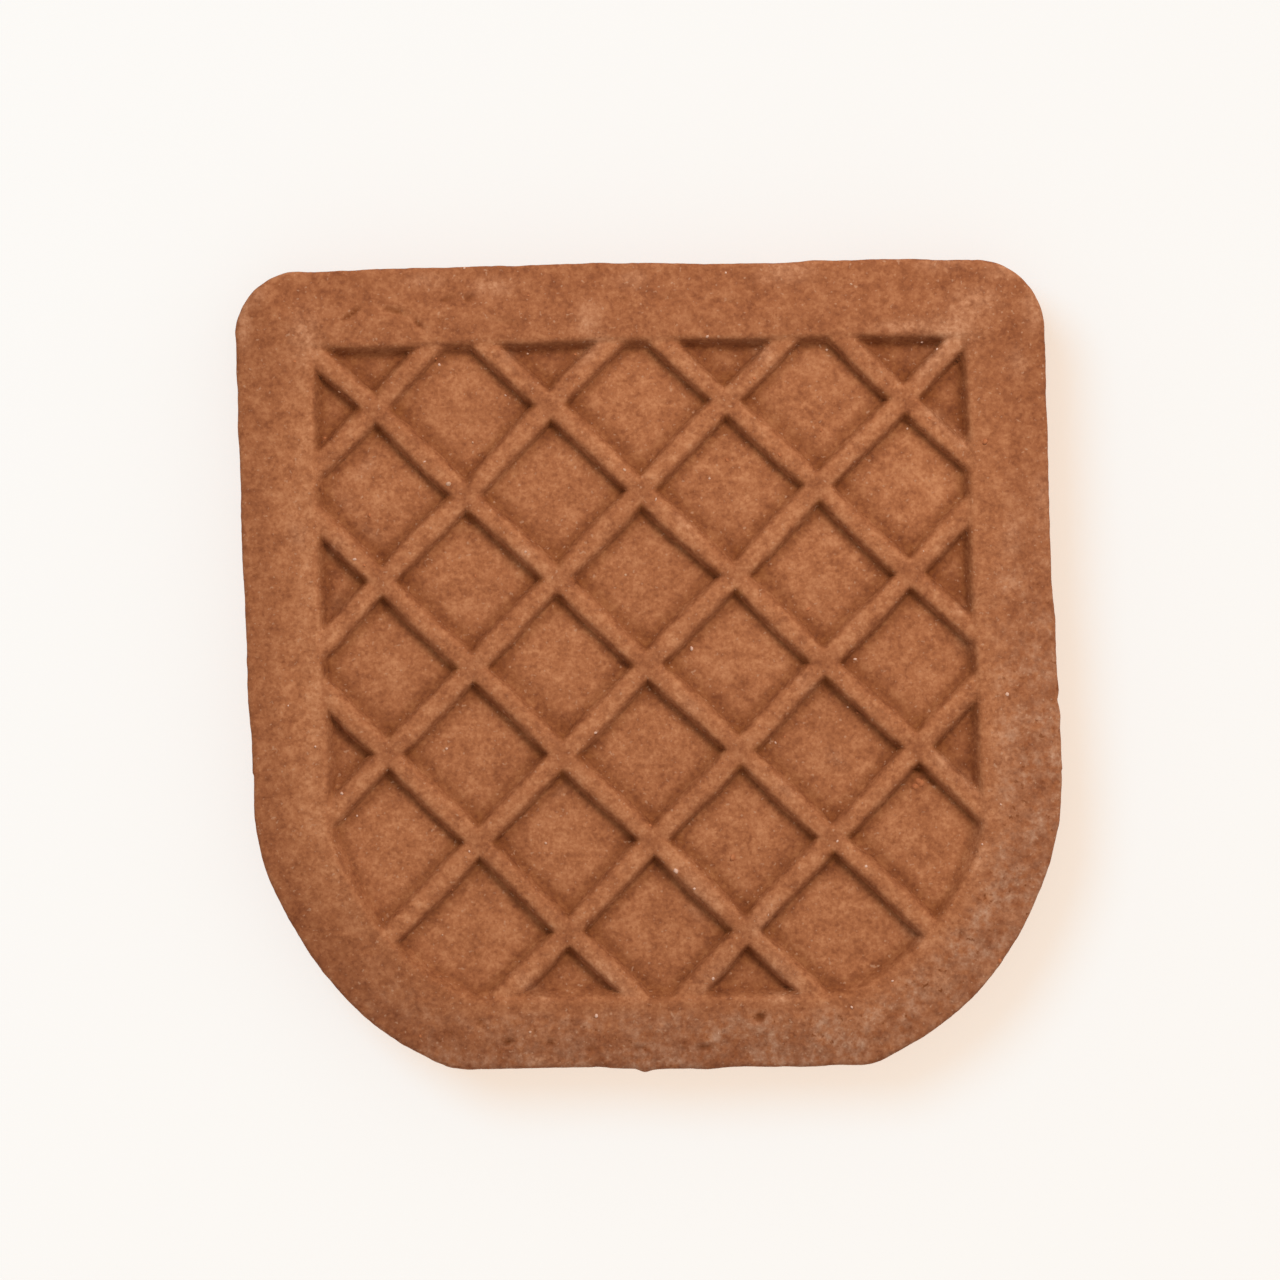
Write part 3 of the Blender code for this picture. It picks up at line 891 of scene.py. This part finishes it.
class NodeBench:
    """A new material, with short ways to add nodes to it and to join them."""

    def __init__(self, name):
        self.material = bpy.data.materials.new(name)
        self.material.use_nodes = True
        self.tree = self.material.node_tree
        self.shader = self.tree.nodes["Principled BSDF"]
        self.place = self.add("ShaderNodeTexCoord").outputs["Object"]

    def add(self, kind, values=(), links=(), **settings):
        node = self.tree.nodes.new(kind)
        for key, value in settings.items():
            setattr(node, key, value)
        for key, value in dict(values).items():
            node.inputs[key].default_value = value
        for key, source in dict(links).items():
            self.tree.links.new(source, node.inputs[key])
        return node

    def noise(self, size, detail, roughness=0.55, output="Fac"):
        values = {"Scale": 1 / size, "Detail": detail, "Roughness": roughness}
        return self.add("ShaderNodeTexNoise", values, {"Vector": self.place}).outputs[output]

    def worked_out(self, operation, a, b):
        node = self.add("ShaderNodeMath", operation=operation)
        for socket, value in zip(node.inputs, (a, b)):
            if isinstance(value, bpy.types.NodeSocket):
                self.tree.links.new(value, socket)
            else:
                socket.default_value = value
        return node.outputs[0]

    def times(self, a, b):
        return self.worked_out("MULTIPLY", a, b)

    def plus(self, a, b):
        return self.worked_out("ADD", a, b)

    def spread(self, value, low, high, to_low=0.0, to_high=1.0):
        values = {"From Min": low, "From Max": high, "To Min": to_low, "To Max": to_high}
        return self.add("ShaderNodeMapRange", values, {"Value": value}).outputs["Result"]

    def mixed(self, amount, a, b, blend="MIX"):
        node = self.add("ShaderNodeMix", data_type="RGBA", blend_type=blend)
        for key, value in (("Factor", amount), ("A", a), ("B", b)):
            socket = next(s for s in node.inputs if s.name == key and s.enabled)
            if isinstance(value, bpy.types.NodeSocket):
                self.tree.links.new(value, socket)
            elif key == "Factor":
                socket.default_value = value
            else:
                socket.default_value = (*value, 1)
        return next(s for s in node.outputs if s.enabled)

    def finish(self, colour, roughness, normal=None):
        """Joins the colour and relief to the shader, for a dry and hardly shining surface."""
        self.tree.links.new(colour, self.shader.inputs["Base Color"])
        if isinstance(roughness, bpy.types.NodeSocket):
            self.tree.links.new(roughness, self.shader.inputs["Roughness"])
        else:
            self.shader.inputs["Roughness"].default_value = roughness
        self.shader.inputs["Specular IOR Level"].default_value = 0.25
        if normal:
            self.tree.links.new(normal, self.shader.inputs["Normal"])
        return self.material


def sandy_cells(bench):
    """Small angular cells of differing tone, their sides a little wandering."""
    wander = bench.add("ShaderNodeVectorMath", {"Scale": 0.12 * MM}, operation="SCALE")
    bench.tree.links.new(bench.noise(0.3 * MM, 1, output="Color"), wander.inputs[0])
    sides = {0: bench.place, 1: wander.outputs[0]}
    moved = bench.add("ShaderNodeVectorMath", (), sides, operation="ADD").outputs[0]
    cells = bench.add("ShaderNodeTexVoronoi", {"Scale": 1 / (0.21 * MM)}, {"Vector": moved})
    return bench.add("ShaderNodeSeparateColor", (), {"Color": cells.outputs["Color"]}).outputs[0]


def crumb_material(name, look, redness=0.0):
    """Baked cocoa crumb: mottled grain, pale and dark specks, greyish dust, painted shade in hollows,
    creases and corners, and painted highlight on the rib crests and the panel's inner edge.
    """
    bench = NodeBench(name)
    noise, times, plus = bench.noise, bench.times, bench.plus
    spread, mixed = bench.spread, bench.mixed
    marks = [bench.add("ShaderNodeAttribute", attribute_name=mark).outputs["Fac"] for mark in MARKS]
    browned_and_shaded, pale_band, worn_and_lit, dusty, pitted, crease_shade, corner_shade, pale_crest_and_highlight, stand, steep = marks
    grain = noise(0.36 * MM, 3, 0.65)
    slow = noise(2.2 * MM, 2)
    patchy = noise(0.7 * MM, 3, 0.6)

    # Slow clouds of darker dough, and the browned places, which include painted shade in the cells
    # that the rim cuts
    colour = mixed(spread(noise(7 * MM, 2), 0.40, 0.62, 0.0, 0.18), look.middle, look.dark)
    colour = mixed(times(browned_and_shaded, 0.42), colour, look.dark)

    # Pale band beside the panel, pale spots and painted highlight, dust, and painted highlight on the
    # rib crests
    colour = mixed(times(spread(patchy, 0.40, 0.62, 0.05, 0.50), pale_band), colour, look.light)
    colour = mixed(times(spread(patchy, 0.35, 0.60, 0.35, 1.0), worn_and_lit), colour, look.worn_and_lit)
    flecks = times(spread(slow, 0.36, 0.60, 0.3, 1.0), spread(noise(0.60 * MM, 3, 0.6), 0.34, 0.70))
    colour = mixed(times(times(flecks, dusty), 0.56), colour, look.dust)
    streaks = spread(noise(0.8 * MM, 3), 0.46, 0.66, 0.0, 0.36)
    colour = mixed(times(pale_crest_and_highlight, streaks), colour, look.light)

    # Painted shade in low, steep, creased and cornered places
    colour = mixed(spread(stand, -0.3, -2.2, 0.0, 0.42), colour, look.hollow_shade)
    colour = mixed(spread(steep, 0.08, 0.42, 0.0, 0.27), colour, look.hollow_shade)
    colour = mixed(times(crease_shade, 0.16), colour, look.hollow_shade)
    colour = mixed(times(corner_shade, 0.92), colour, look.hollow_shade)

    # The grain's own light and dark
    tone = plus(times(plus(grain, noise(1.0 * MM, 3)), 0.36), times(slow, 0.18))
    tone = plus(tone, spread(sandy_cells(bench), 0.0, 1.0, 0.01, 0.09))
    shade = mixed(spread(tone, 0.36, 0.50), (0.66, 0.57, 0.50), (1, 1, 1))
    shade = mixed(spread(tone, 0.50, 0.65), shade, (1.36, 1.62, 1.90))
    colour = mixed(1.0, colour, shade, "MULTIPLY")

    # Pale specks, and painted shade in small pits and in the dents
    colour = mixed(spread(noise(0.30 * MM, 1), 0.67, 0.77, 0.0, 0.5), colour, look.grain)
    pits = times(spread(noise(0.55 * MM, 3), 0.36, 0.28), plus(times(dusty, 0.6), 0.25))
    colour = mixed(pits, colour, look.hollow_shade)
    colour = mixed(times(pitted, 0.75), colour, look.hollow_shade)
    if redness:
        colour = mixed(redness, colour, CRUMB_RED)

    rough = spread(grain, 0.3, 0.7, look.roughness - 0.08, look.roughness + 0.06)
    relief = plus(times(noise(0.14 * MM, 3, 0.65), 0.6), grain)
    bump = bench.add("ShaderNodeBump", {"Strength": 0.6, "Distance": 0.05 * MM}, {"Height": relief})
    return bench.finish(colour, rough, bump.outputs["Normal"])


def grain_material(look):
    """Pale grains, from warm to palest in a slow noise."""
    bench = NodeBench("pale grain")
    ramp = bench.add("ShaderNodeValToRGB", (), {"Fac": bench.noise(0.8 * MM, 2, 0.5)})
    ramp.color_ramp.elements[0].color = (*look.grain, 1)
    ramp.color_ramp.elements[0].position = 0.35
    ramp.color_ramp.elements[1].color = (*look.flour, 1)
    ramp.color_ramp.elements[1].position = 0.55
    return bench.finish(ramp.outputs["Color"], 0.85)


def stones_on(body, named, count, radii, draws):
    """Where stones lie and how big they are: the named ones, then random ones on the face."""
    places = vertex_places(body.data)
    face = np.nonzero(places[:, 2] > NODE_HIGH.z - FACE_DEPTH)[0]
    smallest, largest = radii
    stones = []
    for column, row, radius in named:
        x, y = place_of_pixel(column, row)
        gap = np.hypot(places[face, 0] - x, places[face, 1] - y)
        stones.append((face[gap.argmin()], radius))
    for seed in draws.choice(face, count, replace=False):
        stones.append((seed, smallest + (largest - smallest) * draws.random() ** 2))
    return stones


def scattered(name, body, stones, draws, sink):
    """Many small stones on the body: one rounded stone modelled once and copied to its places."""
    deselect_all()
    bpy.ops.mesh.primitive_ico_sphere_add(subdivisions=2, radius=1, location=(0, 0, 0))
    stone = bpy.context.object
    corners = vertex_places(stone.data)
    faces = np.array([face.vertices[:] for face in stone.data.polygons])
    bpy.data.objects.remove(stone, do_unlink=True)
    places, normals = vertex_places(body.data), vertex_normals(body.data)
    verts, polys = [], []
    for number, (seed, radius) in enumerate(stones):
        lumps = 1 + 0.22 * draws.standard_normal(3)
        wobble = 1 + 0.10 * draws.standard_normal((len(corners), 1))
        shape = corners * np.clip(lumps, 0.5, 1.5) * np.clip(wobble, 0.8, 1.2)
        turn = np.linalg.qr(draws.standard_normal((3, 3)))[0]
        turn *= np.sign(np.linalg.det(turn))
        middle = places[seed] - normals[seed] * radius * sink
        verts.append(shape @ turn.T * radius + middle)
        polys.append(faces + number * len(corners))
    mesh = bpy.data.meshes.new(name)
    mesh.from_pydata(np.concatenate(verts).tolist(), [], np.concatenate(polys).tolist())
    mesh.update()
    piece = bpy.data.objects.new(name, mesh)
    bpy.context.scene.collection.objects.link(piece)
    mesh.shade_smooth()
    return piece


class BISCUIT_OT_body(bpy.types.Operator):
    """Model the biscuit's body with its relief and its crumb"""

    bl_idname = "biscuit.body"
    bl_label = "Biscuit Body"

    def execute(self, context):
        shape, look = context.scene.biscuit_shape, context.scene.biscuit_look
        body = cut_slab(shape)
        underside = press_shape(body, shape)
        add_group(body, "underside", underside)
        marks = zones(vertex_places(body.data), shape)
        lower_rim = marks["dusty"] * marks["inner"] * (underside == 0)
        add_group(body, "lower rim", np.round(lower_rim * 6) / 6)
        roughen(body, "swell", 9 * MM, shape.swell)
        roughen(body, "lumps", 2.2 * MM, shape.lumps)
        roughen(body, "crumb", 0.75 * MM, shape.crumb, depth=3)
        roughen(body, "rough rim", 1.1 * MM, 1.8 * shape.crumb, depth=3, group="lower rim")
        settle(body)
        thin_underside(body, shape)
        settle(body)
        deselect_all()
        body.select_set(True)
        bpy.ops.object.shade_smooth()
        marks = zones(vertex_places(body.data), shape)
        # How low and how steep each point lies, for the painted shade in hollows and on slopes
        marks["stand"], upright = stand_and_upright(body.data, 24)
        marks["steep"] = (1 - upright) * marks["inner"]
        for name in MARKS:
            add_mark(body.data, name, marks[name])
        body.data.materials.append(crumb_material("baked crumb", look))
        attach(body, "root")
        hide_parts("biscuit")
        return {"FINISHED"}


class BISCUIT_OT_grains(bpy.types.Operator):
    """Strew pale grains and loose crumbs over the biscuit"""

    bl_idname = "biscuit.grains"
    bl_label = "Grains and Crumbs"

    def execute(self, context):
        look = context.scene.biscuit_look
        body = bpy.data.objects["baked_biscuit"]
        draws = np.random.default_rng(41)
        stones = stones_on(body, GRAINS, STREWN_GRAINS, GRAIN_RADII, draws)
        grains = scattered("pale_grains", body, stones, draws, 0.3)
        grains.data.materials.append(grain_material(look))
        stones = stones_on(body, CRUMBS, STREWN_CRUMBS, CRUMB_RADII, draws)
        crumbs = scattered("loose_crumbs", body, stones, draws, 0.35)
        crumbs.data.materials.append(crumb_material("loose crumb", look, CRUMB_REDNESS))
        for piece in (grains, crumbs):
            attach(piece, "root")
        return {"FINISHED"}


def area_light(name, power, size, place, aim):
    light = bpy.data.lights.new(name, "AREA")
    light.energy = power
    light.shape = "DISK"
    light.size = size
    lamp = bpy.data.objects.new(name, light)
    lamp.location = place
    lamp.rotation_euler = (Vector(aim) - Vector(place)).to_track_quat("-Z", "Y").to_euler()
    bpy.context.scene.collection.objects.link(lamp)
    return lamp


def lit_only(lamp, name, pieces):
    """The lamp lights these pieces alone."""
    receivers = bpy.data.collections.new(name)
    for piece in pieces:
        receivers.objects.link(piece)
    lamp.light_linking.receiver_collection = receivers


def make_floor(look):
    deselect_all()
    bpy.ops.mesh.primitive_grid_add(size=4, x_subdivisions=2, y_subdivisions=2, location=(0, 0, 0))
    floor = bpy.context.object
    floor.name = floor.data.name = "floor"
    floor.location.z = -0.02 * MM
    material = bpy.data.materials.new("pale floor")
    material.use_nodes = True
    shader = material.node_tree.nodes["Principled BSDF"]
    shader.inputs["Base Color"].default_value = (*look.floor, 1)
    shader.inputs["Roughness"].default_value = 0.9
    shader.inputs["Specular IOR Level"].default_value = 0.0
    floor.data.materials.append(material)
    floor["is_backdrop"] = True
    return floor


class BISCUIT_OT_stage(bpy.types.Operator):
    """Set the pale floor, the soft lights and the camera straight above"""

    bl_idname = "biscuit.stage"
    bl_label = "Stage"

    def execute(self, context):
        scene, look = context.scene, context.scene.biscuit_studio
        floor = make_floor(look)
        world = bpy.data.worlds.new("studio")
        world.use_nodes = True
        world.node_tree.nodes["Background"].inputs["Color"].default_value = (1, 1, 1, 1)
        world.node_tree.nodes["Background"].inputs["Strength"].default_value = look.fill
        scene.world = world
        flat = look.key_distance * math.cos(look.key_elevation)
        key_place = (
            flat * math.cos(look.key_azimuth),
            flat * math.sin(look.key_azimuth),
            look.key_distance * math.sin(look.key_elevation),
        )
        key = area_light("key", look.key_power, look.key_size, key_place, (0, 0, 0))
        lit_only(key, "lit by key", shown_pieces())
        over = area_light(
            "over floor", look.floor_power, OVER_FLOOR_WIDTH, OVER_FLOOR_PLACE, (0, 0, 0)
        )
        over.data.color = look.floor_warmth
        over.data.use_shadow = False
        cool = area_light(
            "cool window", look.shadow_power, COOL_WINDOW_WIDTH, COOL_WINDOW_PLACE, (0, 0, 0)
        )
        cool.data.color = look.shadow_coolness
        for lamp in (over, cool):
            lit_only(lamp, f"lit by {lamp.name}", [floor])
        camera = bpy.data.cameras.new("camera")
        camera.lens = look.lens
        camera.sensor_width = 36.0
        camera.clip_end = 20.0
        eye = bpy.data.objects.new("camera", camera)
        x, y = place_of_pixel(PHOTO_SIDE / 2, PHOTO_SIDE / 2)
        height = PHOTO_SIDE * PIXEL * look.lens / camera.sensor_width
        eye.location = (x, y, NODE_HIGH.z + height)
        eye.rotation_euler = (0, 0, -PHOTO_TURN)
        scene.collection.objects.link(eye)
        scene.camera = eye
        scene.view_settings.view_transform = "Standard"
        return {"FINISHED"}


class BISCUIT_PT_panel(bpy.types.Panel):
    """Lists the biscuit's operators and sizes"""

    bl_label = "Moulded Biscuit"
    bl_space_type = "VIEW_3D"
    bl_region_type = "UI"
    bl_category = "Biscuit"

    def draw(self, context):
        for step in (BISCUIT_OT_body, BISCUIT_OT_grains, BISCUIT_OT_stage):
            self.layout.operator(step.bl_idname)
        for group in ("biscuit_shape", "biscuit_look", "biscuit_studio"):
            settings = getattr(context.scene, group)
            box = self.layout.box()
            for name in settings.bl_rna.properties.keys():
                if name not in ("rna_type", "name"):
                    box.prop(settings, name)


CLASSES = (
    BiscuitShape,
    CrumbLook,
    StudioLook,
    BISCUIT_OT_body,
    BISCUIT_OT_grains,
    BISCUIT_OT_stage,
    BISCUIT_PT_panel,
)


def register():
    for item in CLASSES:
        bpy.utils.register_class(item)
    bpy.types.Scene.biscuit_shape = PointerProperty(type=BiscuitShape)
    bpy.types.Scene.biscuit_look = PointerProperty(type=CrumbLook)
    bpy.types.Scene.biscuit_studio = PointerProperty(type=StudioLook)


def unregister():
    del bpy.types.Scene.biscuit_studio
    del bpy.types.Scene.biscuit_look
    del bpy.types.Scene.biscuit_shape
    for item in reversed(CLASSES):
        bpy.utils.unregister_class(item)


def main():
    register()
    bpy.ops.biscuit.body()
    bpy.ops.biscuit.grains()
    bpy.ops.biscuit.stage()


if __name__ == "__main__":
    main()
